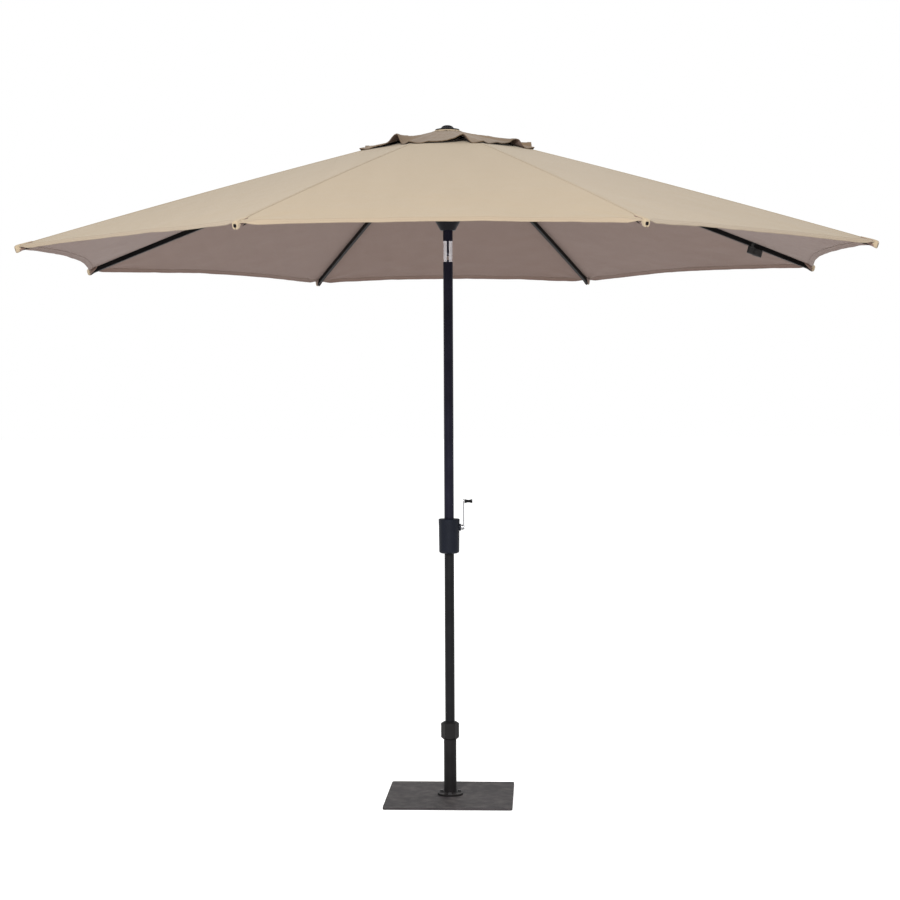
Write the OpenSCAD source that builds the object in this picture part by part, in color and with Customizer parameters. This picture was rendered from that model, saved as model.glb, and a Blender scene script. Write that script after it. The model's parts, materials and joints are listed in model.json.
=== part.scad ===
// Market umbrella on a plate base: crank lift, tilting mast, eight ribs and a vented canopy.
// +Z is up, the origin is on the ground under the pole, and -Y is the front.

/* [Base] */
// Side of the square base plate
plate_w = 500; // [450:10:600]
// Thickness of the base plate
plate_t = 8; // [6:1:12]
// Corner radius of the base plate
plate_corner_r = 10; // [4:1:40]
// Turn of the base about the pole, seen against the canopy
base_turn = -2; // [-20:1:20]
// Outer diameter of the stem flange
flange_d = 100; // [94:2:120]
// Thickness of the stem flange
flange_t = 8; // [6:1:10]
// Bolt circle of the stem flange
flange_pcd = 80; // [76:1:84]
// Outer diameter of the stem tube
stem_d = 50; // [50:0.5:52]
// Height of the stem tube's top above the ground
stem_top_z = 240; // [236:1:244]

/* [Pole] */
// Outer diameter of the pole and the mast
pole_d = 38; // [38:0.1:38.1]
// Height of the joint between the lower and the upper pole
pole_split_z = 1001; // [996:1:1010]
// Height of the crank shaft
crank_z = 1072; // [1070:1:1074]
// Height of the top of the upper pole, under the tilt knuckle
upper_pole_top_z = 2118; // [2110:1:2120]
// Height of the tilt pivot
tilt_z = 2152; // [2150:1:2154]
// Height of the lower end of the mast
mast_bottom_z = 2199; // [2197:1:2201]

/* [Crank] */
// Outer diameter of the crank housing
housing_d = 82; // [80:1:86]
// Height of the crank housing's lower end
housing_z0 = 969; // [965:1:972]
// Height of the crank housing's upper end
housing_z1 = 1106; // [1104:1:1112]
// Distance from the shaft to the centre of the grip
crank_reach = 103; // [80:1:115]
// Length of the grip
grip_len = 31; // [25:1:36]

/* [Canopy frame] */
// Radius from the pole to the rib tips
tip_r = 1676; // [1600:2:1700]
// Height of the rib tips
tip_z = 2126; // [2100:2:2150]
// Height of the rib pivots in the hub
hub_z = 2616; // [2612:1:2620]
// Height of the strut pivots in the runner
runner_z = 2284; // [2280:1:2290]
// Radius of the pivots in the hub and in the runner
pivot_r = 42; // [41:0.5:43]
// Distance between the pivots of a strut, and from the hub pivot to the strut's bracket
link_len = 550; // [540:1:560]
// Upward bow of a rib at its middle
rib_bow = 8; // [6:0.5:12]
// Width of a rib
rib_w = 12; // [11:0.5:12.5]
// Height of a rib
rib_h = 18; // [16:0.5:18]

/* [Canopy] */
// Thickness of the fabric
fabric_t = 1.5; // [1:0.1:2]
// Inward curve of the hem between two ribs, as a share of the radius
hem_curve = 0.042; // [0:0.002:0.06]
// Dip of the fabric between two ribs, at the hem
fabric_dip = 8; // [0:1:20]
// Radius of the opening under the vent cap
vent_hole_r = 150; // [120:5:160]
// Radius of the vent cap's corners
vent_r = 365; // [300:5:400]

/* [Hidden] */
N = 8;
eps = 0.01;
fine = 96;
small = 48;
rib_turn = 180 / N;

pad_t = 2;
pad_r = 15;
pad_place = plate_w / 2 - 35;
plate_z = pad_t;
plate_top = plate_z + plate_t;
flange_top = plate_top + flange_t;
bolt_r = 4;
bolt_head_af = 13;
bolt_head_t = 5.3;
washer_r = 8;
washer_t = 1.2;
stem_wall = 2;
weld_leg = 4;

pole_r = pole_d / 2;
pole_wall = 2;
pole_in = pole_r - pole_wall;
running = 0.06;
foot_z = plate_top + 0.3;
foot_t = 4;
foot_plug_len = 26;
pole_z0 = foot_z + foot_t + 0.3;

sleeve_z0 = 46;
sleeve_out = stem_d / 2 - stem_wall - 0.05;
sleeve_thread_r = 24;
sleeve_thread_z = stem_top_z + 6;
sleeve_cone_z = 270;
sleeve_top = 290;
collar_z0 = 232;
collar_z1 = 301;
collar_corner_r = 37;
collar_r = 36;
collar_chamfer = 7;

joiner_len = 90;
shaft_r = 5;
shaft_x0 = -33;
shaft_x1 = 58;
drum_core_r = 8;
drum_flange_r = 12.5;
drum_half = 9;
drum_flange_t = 1.5;
bush_r = 8;
boss_r = 14;
boss_x = 47;
housing_wall = 4;
housing_chamfer = 9;
screw_x = 28;
screw_r = 1.5;
screw_z = [housing_z0 + 20, housing_z1 - 12];
arm_x = 55;
arm_t = 5;
arm_r = 8;
grip_x = arm_x + arm_t + 1;
grip_r = 7.6;
grip_waist = 5.4;
grip_pin_r = 3;
spring_wire_r = 0.7;
spring_turns = 4;

knuckle_r = 17.6;
knuckle_rim_r = 18.8;
knuckle_rim_t = 4;
knuckle_slot = 4;
knuckle_gap = 0.5;
tongue_half = 3.6;
tongue_r = 11;
tilt_pin_r = 3;
tilt_pin_head_r = 5;
plug_r = pole_in - 0.05;

hub_top = 2631;
hub_bottom = 2568;
hub_core_r = 31;
hub_r = 50;
pin_r = 2.5;
pin_len = 22;
mast_top = 2596;
pulley_x = 17;
pulley_z = 2609;
groove_r = 8.5;
pulley_r = 10.5;
pulley_w = 7;
cord_r = 1.2;
groove_gap = 0.4;

runner_cone_z = 2241;
runner_rim_z = 2277;
runner_top = 2298;
runner_r = 49.5;
runner_bore = pole_r + 0.5;
strut_w = 11;
strut_h = 10;

// A rib is an arc: its chord runs from the hub pivot to the tip.
chord = norm([tip_r - pivot_r, hub_z - tip_z]);
chord_fall = atan((hub_z - tip_z) / (tip_r - pivot_r));
arc_r = (chord * chord / 4 + rib_bow * rib_bow) / (2 * rib_bow);
arc_half = asin(chord / 2 / arc_r);
arc_mid = 90 - chord_fall;
arc_c = [(pivot_r + tip_r) / 2 - (arc_r - rib_bow) * cos(arc_mid),
         (hub_z + tip_z) / 2 - (arc_r - rib_bow) * sin(arc_mid)];
tip_len = 12;
rib_wall = 1.2;
cheek_t = 2;
eye_gap = 6;
tube_end = arc_mid - arc_half + tip_len / arc_r * 180 / PI;

// Equal links keep the runner on the mast: both make this angle with the horizontal.
link_fall = asin((hub_z - runner_z) / 2 / link_len);
bracket = [pivot_r + link_len * cos(link_fall), hub_z - link_len * sin(link_fall)];

fabric_gap = 2.2;
vent_flat_r = 58;
finial_r = 48;
finial_z = hub_top + fabric_t + 1;
finial_top = 2653;
finial_dome_r = 24;
finial_dome_z = 2642;

// ---------- helpers ----------

// Cylinder of radius r between two heights
module post(r, z0, z1, fn = fine) translate([0, 0, z0]) cylinder(r = r, h = z1 - z0, $fn = fn);

// Tube between two heights
module tube(r_out, r_in, z0, z1) {
    difference() {
        post(r_out, z0, z1);
        post(r_in, z0 - 1, z1 + 1);
    }
}

// Cylinder along X between two places, at height z
module rod_x(r, x0, x1, z, fn = small) translate([x0, 0, z]) rotate([0, 90, 0]) cylinder(r = r, h = x1 - x0, $fn = fn);

// Cylinder along Y, centred, at a point of the XZ plane
module rod_y(r, length, x, z, fn = small)
    translate([x, length / 2, z]) rotate([90, 0, 0]) cylinder(r = r, h = length, $fn = fn);

// Solid of revolution of an outline given as [radius, height] points
module spun(points) rotate_extrude($fn = fine) polygon(points);

// Place something at each rib's direction
module at_rib(i) rotate(rib_turn + (i - 1) * 360 / N) children();
module at_ribs() for (i = [1 : N]) at_rib(i) children();

// Bar of the ribs' arc: w wide, h high, between two angles of the arc
module arc_bar(w, h, a0, a1)
    translate([arc_c[0], 0, arc_c[1]]) rotate([90, 0, 0]) rotate([0, 0, a0])
        rotate_extrude(angle = a1 - a0, $fn = 3600)
            translate([arc_r - h / 2, -w / 2]) square([h, w]);

// Faces of a closed tube of rings, each ring with s points
function ring_faces(rings, s) = concat(
    [for (i = [0 : rings - 2]) for (j = [0 : s - 1])
        [i * s + j, (i + 1) * s + j, (i + 1) * s + (j + 1) % s, i * s + (j + 1) % s]],
    [[for (j = [0 : s - 1]) j]],
    [[for (j = [s - 1 : -1 : 0]) (rings - 1) * s + j]]);

function unit(v) = v / norm(v);
function ahead(p, i) = unit(p[min(i + 1, len(p) - 1)] - p[max(i - 1, 0)]);

// Round wire of radius r swept along points, with s sides; side is a direction the path never takes
module wire(p, r, s, side) {
    points = [for (i = [0 : len(p) - 1])
        let (t = ahead(p, i), u = unit(cross(t, side)), v = cross(t, u))
        for (j = [0 : s - 1]) p[i] + r * (cos(360 * j / s) * u + sin(360 * j / s) * v)];
    polyhedron(points, ring_faces(len(p), s), convexity = 8);
}

// ---------- base ----------

module plate_outline() {
    c = plate_w / 2 - plate_corner_r;
    square([plate_w, plate_w - 2 * plate_corner_r], center = true);
    square([plate_w - 2 * plate_corner_r, plate_w], center = true);
    for (x = [-c, c]) for (y = [-c, c]) translate([x, y]) circle(r = plate_corner_r, $fn = small);
}

module at_bolts() for (a = [-90, 30, 150]) rotate(a) translate([flange_pcd / 2, 0, 0]) children();

module base_plate() color([0.35, 0.33, 0.34]) rotate(base_turn) {
    difference() {
        translate([0, 0, plate_z]) linear_extrude(plate_t) plate_outline();
        at_bolts() post(bolt_r, plate_z - 1, plate_top + 1, small);
    }
}

module foot_pads() color([0.10, 0.10, 0.10]) rotate(base_turn) {
    post(pad_r, 0, pad_t, small);
    for (x = [-pad_place, pad_place]) for (y = [-pad_place, pad_place])
        translate([x, y, 0]) post(pad_r, 0, pad_t, small);
}

module base_stem() color([0.18, 0.17, 0.17]) rotate(base_turn) {
    difference() {
        union() {
            post(flange_d / 2, plate_top, flange_top);
            post(stem_d / 2, plate_top, stem_top_z);
            spun([[stem_d / 2 - 1, flange_top - 1], [stem_d / 2 + weld_leg, flange_top - 1],
                  [stem_d / 2 + weld_leg, flange_top], [stem_d / 2, flange_top + weld_leg],
                  [stem_d / 2 - 1, flange_top + weld_leg]]);
        }
        post(stem_d / 2 - stem_wall, plate_top - 1, stem_top_z + 1);
        at_bolts() post(bolt_r + 0.5, plate_top - 1, flange_top + 1, small);
    }
}

module flange_bolts() color([0.12, 0.12, 0.12]) rotate(base_turn) at_bolts() {
    post(bolt_r - 0.05, plate_z + 1, flange_top + washer_t, small);
    post(washer_r, flange_top, flange_top + washer_t, small);
    translate([0, 0, flange_top + washer_t])
        cylinder(d = bolt_head_af / cos(30), h = bolt_head_t, $fn = 6);
}

module pole_sleeve() color([0.12, 0.12, 0.12]) rotate(base_turn) {
    difference() {
        spun([[0, sleeve_z0], [sleeve_out, sleeve_z0], [sleeve_out, stem_top_z],
              [stem_d / 2, stem_top_z], [stem_d / 2, sleeve_thread_z],
              [sleeve_thread_r, sleeve_thread_z], [sleeve_thread_r, sleeve_cone_z],
              [pole_r + 2.5, sleeve_top], [0, sleeve_top]]);
        post(pole_r + 0.08, sleeve_z0 - 1, sleeve_top + 1);
        for (a = [0, 90]) rotate(a)
            translate([-pole_d, -1, sleeve_thread_z + 4]) cube([2 * pole_d, 2, sleeve_top]);
    }
}

module locking_collar() color([0.19, 0.19, 0.19]) {
    difference() {
        intersection() {
            translate([0, 0, collar_z0]) linear_extrude(collar_z1 - collar_z0)
                circle(r = collar_corner_r, $fn = 6);
            spun([[0, collar_z0], [stem_d / 2 + 3, collar_z0], [collar_r, collar_z0 + collar_chamfer],
                  [collar_r, collar_z1 - collar_chamfer], [pole_r + 6, collar_z1], [0, collar_z1]]);
        }
        post(stem_d / 2 + 0.5, collar_z0 - 1, sleeve_thread_z + 0.3);
        post(sleeve_thread_r + 0.4, sleeve_thread_z, sleeve_cone_z + 0.3);
        spun([[0, sleeve_cone_z], [sleeve_thread_r + 0.4, sleeve_cone_z],
              [pole_r + 3.2, sleeve_top + 1], [0, sleeve_top + 1]]);
        post(pole_r + 0.6, sleeve_top, collar_z1 + 1);
    }
}

// ---------- pole ----------

module pole_foot_plug() color([0.10, 0.10, 0.10]) {
    post(pole_r - 0.2, foot_z, foot_z + foot_t);
    post(pole_in - running, foot_z, foot_z + foot_t + foot_plug_len);
}

module lower_pole() color([0.17, 0.17, 0.22]) tube(pole_r, pole_in, pole_z0, pole_split_z);

module pole_joiner() color([0.60, 0.60, 0.62])
    tube(pole_in - 0.05, pole_in - 2, pole_split_z - joiner_len / 2, pole_split_z + joiner_len / 2);

module upper_pole() color([0.17, 0.17, 0.22]) {
    difference() {
        tube(pole_r, pole_in, pole_split_z, upper_pole_top_z);
        rod_x(bush_r, -pole_d, pole_d, crank_z);
    }
}

// ---------- crank ----------

module housing_body() {
    r = housing_d / 2;
    difference() {
        union() {
            spun([[0, housing_z0], [r - housing_chamfer, housing_z0], [r - 2, housing_z0 + 4],
                  [r - 1, housing_z0 + housing_chamfer], [r, housing_z1 - 30],
                  [r + 1, housing_z1 - 3], [r - 2, housing_z1], [0, housing_z1]]);
            rod_x(boss_r, 30, boss_x, crank_z);
        }
        difference() {
            post(r - housing_wall, housing_z0 + 14, housing_z1 - 6);
            rod_x(boss_r, 26, boss_x, crank_z);
            rod_x(boss_r, -r, -26, crank_z);
            for (x = [-screw_x, screw_x]) for (z = screw_z) rod_y(5.5, housing_d, x, z);
        }
        post(pole_r + 0.02, housing_z0 - 1, housing_z1 + 1);
        rod_x(bush_r, -34, boss_x + 1, crank_z);
    }
}

module crank_housing_front() color([0.15, 0.16, 0.20]) {
    difference() {
        intersection() {
            housing_body();
            translate([-housing_d, -housing_d - eps, housing_z0]) cube([2 * housing_d, housing_d, 200]);
        }
        for (x = [-screw_x, screw_x]) for (z = screw_z) rod_y(screw_r, 2 * 18, x, z);
    }
}

module crank_housing_rear() color([0.15, 0.16, 0.20]) {
    difference() {
        intersection() {
            housing_body();
            translate([-housing_d, eps, housing_z0]) cube([2 * housing_d, housing_d, 200]);
        }
        for (x = [-screw_x, screw_x]) for (z = screw_z) {
            rod_y(screw_r + 0.4, housing_d, x, z);
            translate([0, 20 + housing_d / 2, 0]) rod_y(4, housing_d, x, z);
        }
    }
}

module housing_screws() color([0.25, 0.25, 0.27])
    for (x = [-screw_x, screw_x]) for (z = screw_z) {
        translate([0, 4, 0]) rod_y(screw_r, 32, x, z);
        translate([0, 21.3, 0]) rod_y(3.4, 2.6, x, z);
    }

module shaft_bushes() color([0.85, 0.84, 0.80]) {
    difference() {
        union() {
            rod_x(bush_r - 0.05, 26, boss_x, crank_z);
            rod_x(bush_r - 0.05, -33.5, -26, crank_z);
        }
        rod_x(shaft_r + running, -34, boss_x + 1, crank_z);
    }
}

module crank_shaft() color([0.62, 0.62, 0.64]) rod_x(shaft_r, shaft_x0, shaft_x1, crank_z);

module cord_drum() color([0.85, 0.84, 0.80]) {
    difference() {
        union() {
            rod_x(drum_core_r, -drum_half, drum_half, crank_z);
            rod_x(drum_flange_r, -drum_half, drum_flange_t - drum_half, crank_z);
            rod_x(drum_flange_r, drum_half - drum_flange_t, drum_half, crank_z);
        }
        rod_x(shaft_r + 0.02, -drum_half - 1, drum_half + 1, crank_z);
    }
}

// Wrap spring that brakes the shaft against the housing
module brake_spring() color([0.55, 0.55, 0.57]) {
    turn = 20;
    pitch = 0.9;
    p = [for (i = [0 : spring_turns * 360 / turn])
        [18.6 + pitch * i * turn / 360 * 1.6, (shaft_r + 1.1) * cos(i * turn),
         crank_z + (shaft_r + 1.1) * sin(i * turn)]];
    wire(p, spring_wire_r, 8, [1, 0, 0]);
}

module crank_arm() color([0.75, 0.75, 0.77]) {
    difference() {
        union() {
            rod_x(arm_r + 2.5, boss_x + 1, arm_x + 1, crank_z);
            hull() {
                rod_x(arm_r + 1, arm_x, arm_x + arm_t, crank_z, 32);
                rod_x(arm_r - 1, arm_x, arm_x + arm_t, crank_z + crank_reach, 32);
            }
        }
        rod_x(shaft_r + 0.02, boss_x, shaft_x1 + 0.5, crank_z);
        rod_x(2, shaft_x1, arm_x + arm_t + 1, crank_z);
        rod_x(grip_pin_r, arm_x - 1, arm_x + arm_t + 1, crank_z + crank_reach);
    }
}

module crank_screw() color([0.30, 0.30, 0.32]) {
    rod_x(1.95, shaft_x1, arm_x + arm_t, crank_z);
    rod_x(4.5, arm_x + arm_t, arm_x + arm_t + 2.4, crank_z);
}

module grip_pin() color([0.62, 0.62, 0.64]) translate([0, 0, crank_reach]) {
    rod_x(grip_pin_r, arm_x, grip_x + grip_len + 0.5, crank_z);
    rod_x(4.8, grip_x + grip_len + 0.5, grip_x + grip_len + 2, crank_z);
}

module crank_grip() color([0.06, 0.06, 0.06])
    translate([grip_x, 0, crank_z + crank_reach]) rotate([0, 90, 0]) difference() {
        spun([[0, 0], [grip_r - 1, 0], [grip_r, 1], [grip_r, 4], [grip_waist, 12],
              [grip_waist, grip_len - 12], [grip_r, grip_len - 4], [grip_r, grip_len - 1],
              [grip_r - 1, grip_len], [0, grip_len]]);
        post(grip_pin_r + running, -1, grip_len + 1, small);
    }

// ---------- tilt knuckle ----------

module cord_hole(r) translate([0, 6.5, 0]) post(r, 2000, 2300, small);

// Slot between the two cheeks, from a height upwards
module knuckle_cut(z0, z1) translate([-knuckle_slot, -pole_d, z0]) cube([2 * knuckle_slot, 2 * pole_d, z1 - z0]);

// Flats that the heads of the tilt pin lie on
module pin_flats() for (s = [0, 1]) mirror([s, 0, 0]) rod_x(tilt_pin_head_r + 0.5, knuckle_r - 2.5, pole_r, tilt_z);

module tilt_fork() color([0.80, 0.80, 0.82]) {
    rim_top = upper_pole_top_z + knuckle_rim_t;
    difference() {
        union() {
            post(plug_r, upper_pole_top_z - 40, upper_pole_top_z);
            post(knuckle_rim_r, upper_pole_top_z, rim_top);
            post(knuckle_r, rim_top, tilt_z);
            intersection() {
                post(knuckle_r, tilt_z, tilt_z + pole_r);
                rod_x(knuckle_r - 0.5, -pole_r, pole_r, tilt_z);
            }
        }
        knuckle_cut(rim_top + 3, tilt_z + pole_r);
        pin_flats();
        rod_x(tilt_pin_r, -pole_r, pole_r, tilt_z);
        cord_hole(2.4);
    }
}

module tilt_pin() color([0.62, 0.62, 0.64]) {
    rod_x(tilt_pin_r, -knuckle_r + 2.5, knuckle_r - 2.5, tilt_z);
    for (s = [0, 1]) mirror([s, 0, 0]) rod_x(tilt_pin_head_r, knuckle_r - 2.5, knuckle_r - 0.5, tilt_z);
}

module tilt_tongue() color([0.80, 0.80, 0.82]) {
    rim_bottom = mast_bottom_z - knuckle_rim_t;
    difference() {
        union() {
            rod_x(tongue_r, -tongue_half, tongue_half, tilt_z);
            translate([-tongue_half, -tongue_r, tilt_z])
                cube([2 * tongue_half, 2 * tongue_r, rim_bottom - tilt_z]);
            difference() {
                post(knuckle_r, tilt_z + 6, rim_bottom);
                knuckle_cut(tilt_z, rim_bottom - 3);
                rod_x(knuckle_r + knuckle_gap, -pole_r, pole_r, tilt_z);
            }
            post(knuckle_rim_r, rim_bottom, mast_bottom_z);
            post(plug_r, mast_bottom_z, mast_bottom_z + 40);
        }
        rod_x(tilt_pin_r + running, -pole_r, pole_r, tilt_z);
        cord_hole(2.4);
    }
}

// ---------- mast, hub and runner ----------

module mast() color([0.16, 0.16, 0.18]) tube(pole_r, pole_in, mast_bottom_z, mast_top);

module hub() color([0.08, 0.08, 0.08]) {
    difference() {
        union() {
            post(hub_core_r, hub_bottom, hub_top);
            post(hub_r, hub_z - 15, hub_top);
        }
        post(pole_r + 0.02, hub_bottom - 1, mast_top);
        at_ribs() translate([hub_core_r + 1, -rib_w / 2 - 0.7, hub_bottom - 1])
            cube([hub_r, rib_w + 1.4, hub_top - hub_bottom + 2]);
        at_ribs() rod_y(pin_r, pin_len, pivot_r, hub_z);
        translate([5.5, -pulley_w / 2 - 0.5, mast_top - 1]) cube([24, pulley_w + 1, 26]);
        translate([pulley_x + groove_r, 0, 0]) post(2.4, hub_bottom - 1, mast_top + 2, small);
        rod_y(2, 20, pulley_x, pulley_z);
        post(3, mast_top + 8, hub_top + 1, small);
    }
}

module hub_pins() color([0.62, 0.62, 0.64]) at_ribs() rod_y(pin_r, pin_len - 1, pivot_r, hub_z);

module cord_pulley() color([0.85, 0.84, 0.80])
    translate([pulley_x, 0, pulley_z]) rotate([90, 0, 0]) difference() {
        spun([[0, -pulley_w / 2], [pulley_r, -pulley_w / 2], [groove_r - cord_r - groove_gap, -cord_r],
              [groove_r - cord_r - groove_gap, cord_r], [pulley_r, pulley_w / 2], [0, pulley_w / 2]]);
        post(2 + running, -pulley_w, pulley_w, small);
    }

module pulley_pin() color([0.62, 0.62, 0.64]) rod_y(2, 19, pulley_x, pulley_z);

module finial() color([0.10, 0.09, 0.09]) {
    spun([[0, finial_z], [finial_r - 1, finial_z], [finial_r, finial_z + 1.5],
          [finial_r - 1, finial_z + 3.5], [finial_dome_r + 2, finial_dome_z],
          [finial_dome_r, finial_dome_z + 3], [finial_dome_r - 5, finial_top - 3],
          [finial_dome_r - 13, finial_top], [0, finial_top]]);
    post(2.95, mast_top + 10, finial_z + 1, small);
}

module runner() color([0.08, 0.08, 0.08]) {
    difference() {
        spun([[0, runner_cone_z + 2], [runner_bore + 8, runner_cone_z], [30, runner_cone_z + 2],
              [runner_r, runner_rim_z], [runner_r, runner_top - 2], [runner_r - 2, runner_top],
              [0, runner_top]]);
        post(runner_bore, runner_cone_z - 1, runner_top + 1);
        at_ribs() translate([pivot_r - strut_h / 2 - 2, -strut_w / 2 - 0.7, runner_z - 6.3])
            cube([30, strut_w + 1.4, 40]);
        at_ribs() rod_y(pin_r, pin_len, pivot_r, runner_z);
        translate([pulley_x + groove_r, 0, 0]) post(2, runner_rim_z - 6, runner_top + 1, small);
    }
}

module runner_pins() color([0.62, 0.62, 0.64]) at_ribs() rod_y(pin_r, pin_len - 1, pivot_r, runner_z);

// Lifting cord: from the drum up inside the pole, over the pulley and down beside the mast
cord_low = [[0, drum_core_r + 1.5, crank_z], [0, drum_core_r + 1.5, crank_z + 20], [0, 8, 1200],
            [0, 7, 1400], [0, 6.5, 1700], [0, 6.5, 2000], [0, 6.5, 2070], [0, 6.5, 2100],
            [0, 6.5, 2130], [0, 6.5, 2160], [0, 6.5, 2200], [0, 6.5, 2250], [1, 6, 2300],
            [4, 4, 2400], [7, 1.5, 2500], [8.3, 0.3, 2570]];
cord_over = [for (a = [180 : -15 : 0]) [pulley_x + groove_r * cos(a), 0, pulley_z + groove_r * sin(a)]];
cord_down = [for (z = [mast_top : -40 : runner_top]) [pulley_x + groove_r, 0, z]];
cord_end = [[pulley_x + groove_r, 0, runner_top], [pulley_x + groove_r, 0, runner_rim_z - 5]];

module lifting_cord() color([0.90, 0.90, 0.88])
    wire(concat(cord_low, cord_over, cord_down, cord_end), cord_r, 8, [0.05, 1, 0.02]);

// ---------- ribs and struts, drawn in the XZ plane and turned to their places ----------

// Point beside the bracket's pin: along the rib and up from it
function by_pin(along, up) = [bracket[0] + along * cos(chord_fall) + up * sin(chord_fall),
                              bracket[1] - along * sin(chord_fall) + up * cos(chord_fall)];

// One cheek of the bracket, a plate against the side of the rib
module bracket_cheek() rotate([90, 0, 0]) linear_extrude(cheek_t) {
    translate(bracket) circle(r = pin_r + 3, $fn = small);
    polygon([by_pin(-5, 0), by_pin(-22, 12), by_pin(-22, 20), by_pin(22, 20), by_pin(22, 12), by_pin(5, 0)]);
}

module rib_shape() {
    eye_end = arc_mid + arc_half;
    difference() {
        union() {
            arc_bar(rib_w, rib_h, tube_end, eye_end - eye_gap / arc_r * 180 / PI);
            rod_y(rib_h / 2 - 1, rib_w, pivot_r, hub_z);
            translate([0, rib_w / 2 + cheek_t - 0.1, 0]) bracket_cheek();
            translate([0, 0.1 - rib_w / 2, 0]) bracket_cheek();
            rod_y(pin_r, rib_w + 2 * cheek_t + 1, bracket[0], bracket[1]);
        }
        arc_bar(rib_w - 2 * rib_wall, rib_h - 2 * rib_wall, tube_end - 1, eye_end - 0.04);
        rod_y(pin_r + running, rib_w + 2, pivot_r, hub_z);
    }
}

module rib(i) color([0.09, 0.09, 0.09]) at_rib(i) rib_shape();

// End plug of a rib, with a cross hole that the canopy's pocket is laced to
module rib_tip(i) color([0.10, 0.10, 0.10]) at_rib(i) {
    difference() {
        union() {
            arc_bar(rib_w - 2 * rib_wall - 0.2, rib_h - 2 * rib_wall - 0.2, tube_end, tube_end + 0.03);
            arc_bar(rib_w + 1, rib_h + 1, arc_mid - arc_half, tube_end);
        }
        rod_y(2.4, 30, tip_r - 5, tip_z + 1);
    }
}

module strut(i) color([0.09, 0.09, 0.09]) at_rib(i)
    translate([bracket[0], 0, bracket[1]]) rotate([0, link_fall, 0]) rotate([0, 0, 180])
        rotate([0, 2 * link_fall, 0]) difference() {
            union() {
                translate([0, -strut_w / 2, -strut_h / 2]) cube([link_len, strut_w, strut_h]);
                rod_y(strut_h / 2, strut_w, 0, 0);
                rod_y(strut_h / 2, strut_w, link_len, 0);
            }
            translate([14, -strut_w / 2 + 1.2, -strut_h / 2 + 1.2])
                cube([link_len - 28, strut_w - 2.4, strut_h - 2.4]);
            rod_y(pin_r + running, 2 * strut_w, 0, 0);
            rod_y(pin_r + running, 2 * strut_w, link_len, 0);
        }

// ---------- canopy ----------

// Height of a rib's centre line at a radius
function rib_z(r) = arc_c[1] + sqrt(arc_r * arc_r - (r - arc_c[0]) * (r - arc_c[0]));
// Height of the fabric's underside over a rib
function main_z(r) = rib_z(r) + rib_h / 2 / cos(chord_fall) + fabric_gap;
function vent_z(r) =
    let (d = max(r, vent_flat_r) - vent_flat_r) hub_top + 0.5 - 0.17 * d - 8 * (1 - exp(-d / 25));

// Point of a gore sheet: t runs from rib to rib, -1 to 1, and k is the height function's name
function gore_point(i, r, t, dip, lift, vent) =
    let (a = (i - 1) * 360 / N, c = r * cos(rib_turn), s = t * r * sin(rib_turn),
         z = (vent ? vent_z(r) : main_z(r)) - dip * (1 - t * t) + lift)
    [c * cos(a) - s * sin(a), c * sin(a) + s * cos(a), z];

// Eight-sided sheet from r0 out to r1, in steps of u and of t, with a curved hem
module gore_sheet(r0, r1, curve, dip, nu, nt, vent) {
    cols = N * nt;
    points = [for (lift = [0, fabric_t]) for (u = [0 : nu]) for (c = [0 : cols - 1])
        let (i = floor(c / nt) + 1, t = 2 * (c % nt) / nt - 1,
             r = r0 + (r1 * (1 - curve * (1 - t * t)) - r0) * u / nu)
        gore_point(i, r, t, dip * u * u / (nu * nu), lift, vent)];
    top = (nu + 1) * cols;
    faces = concat(
        [for (u = [0 : nu - 1]) for (c = [0 : cols - 1]) let (d = (c + 1) % cols)
            [u * cols + c, (u + 1) * cols + c, (u + 1) * cols + d, u * cols + d]],
        [for (u = [0 : nu - 1]) for (c = [0 : cols - 1]) let (d = (c + 1) % cols)
            [top + u * cols + d, top + (u + 1) * cols + d, top + (u + 1) * cols + c, top + u * cols + c]],
        [for (c = [0 : cols - 1]) let (d = (c + 1) % cols) [c, d, top + d, top + c]],
        [for (c = [0 : cols - 1]) let (d = (c + 1) % cols, o = nu * cols)
            [o + d, o + c, top + o + c, top + o + d]]);
    polyhedron(points, faces, convexity = 6);
}

module canopy() color([0.75, 0.69, 0.60])
    gore_sheet(vent_hole_r, tip_r, hem_curve, fabric_dip, 8, 6, false);

module vent_cap() color([0.75, 0.69, 0.60])
    gore_sheet(6, vent_r, hem_curve, 6, 7, 6, true);

// Rolled closing strap under the first rib
module tie_strap() color([0.05, 0.05, 0.05]) at_rib(1) {
    r = 1390;
    translate([r, 0, rib_z(r) - rib_h / 2 - 17]) rotate([0, chord_fall, 0])
        cube([75, 14, 28], center = true);
}

base_plate();
foot_pads();
base_stem();
flange_bolts();
pole_sleeve();
locking_collar();
pole_foot_plug();
lower_pole();
pole_joiner();
upper_pole();
crank_housing_front();
crank_housing_rear();
housing_screws();
shaft_bushes();
crank_shaft();
cord_drum();
brake_spring();
crank_arm();
crank_screw();
grip_pin();
crank_grip();
tilt_fork();
tilt_pin();
tilt_tongue();
mast();
hub();
hub_pins();
cord_pulley();
pulley_pin();
finial();
runner();
runner_pins();
lifting_cord();
canopy();
vent_cap();
tie_strap();
for (i = [1 : N]) {
    rib(i);
    rib_tip(i);
    strut(i);
}
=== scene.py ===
# %% [markdown]
# # A market umbrella on a plate base
#
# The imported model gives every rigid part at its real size. This script keeps those parts where they are,
# gives each one its finish, and builds the soft pieces round them: the canopy, its hems, seams and pockets,
# the vent cap, the gathered crown, the lifting cord and the closing strap. All lengths are metres.

# %% Load the fixed model
import json
import math

import bmesh
import bpy
import numpy as np
from mathutils import Matrix, Vector


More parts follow.
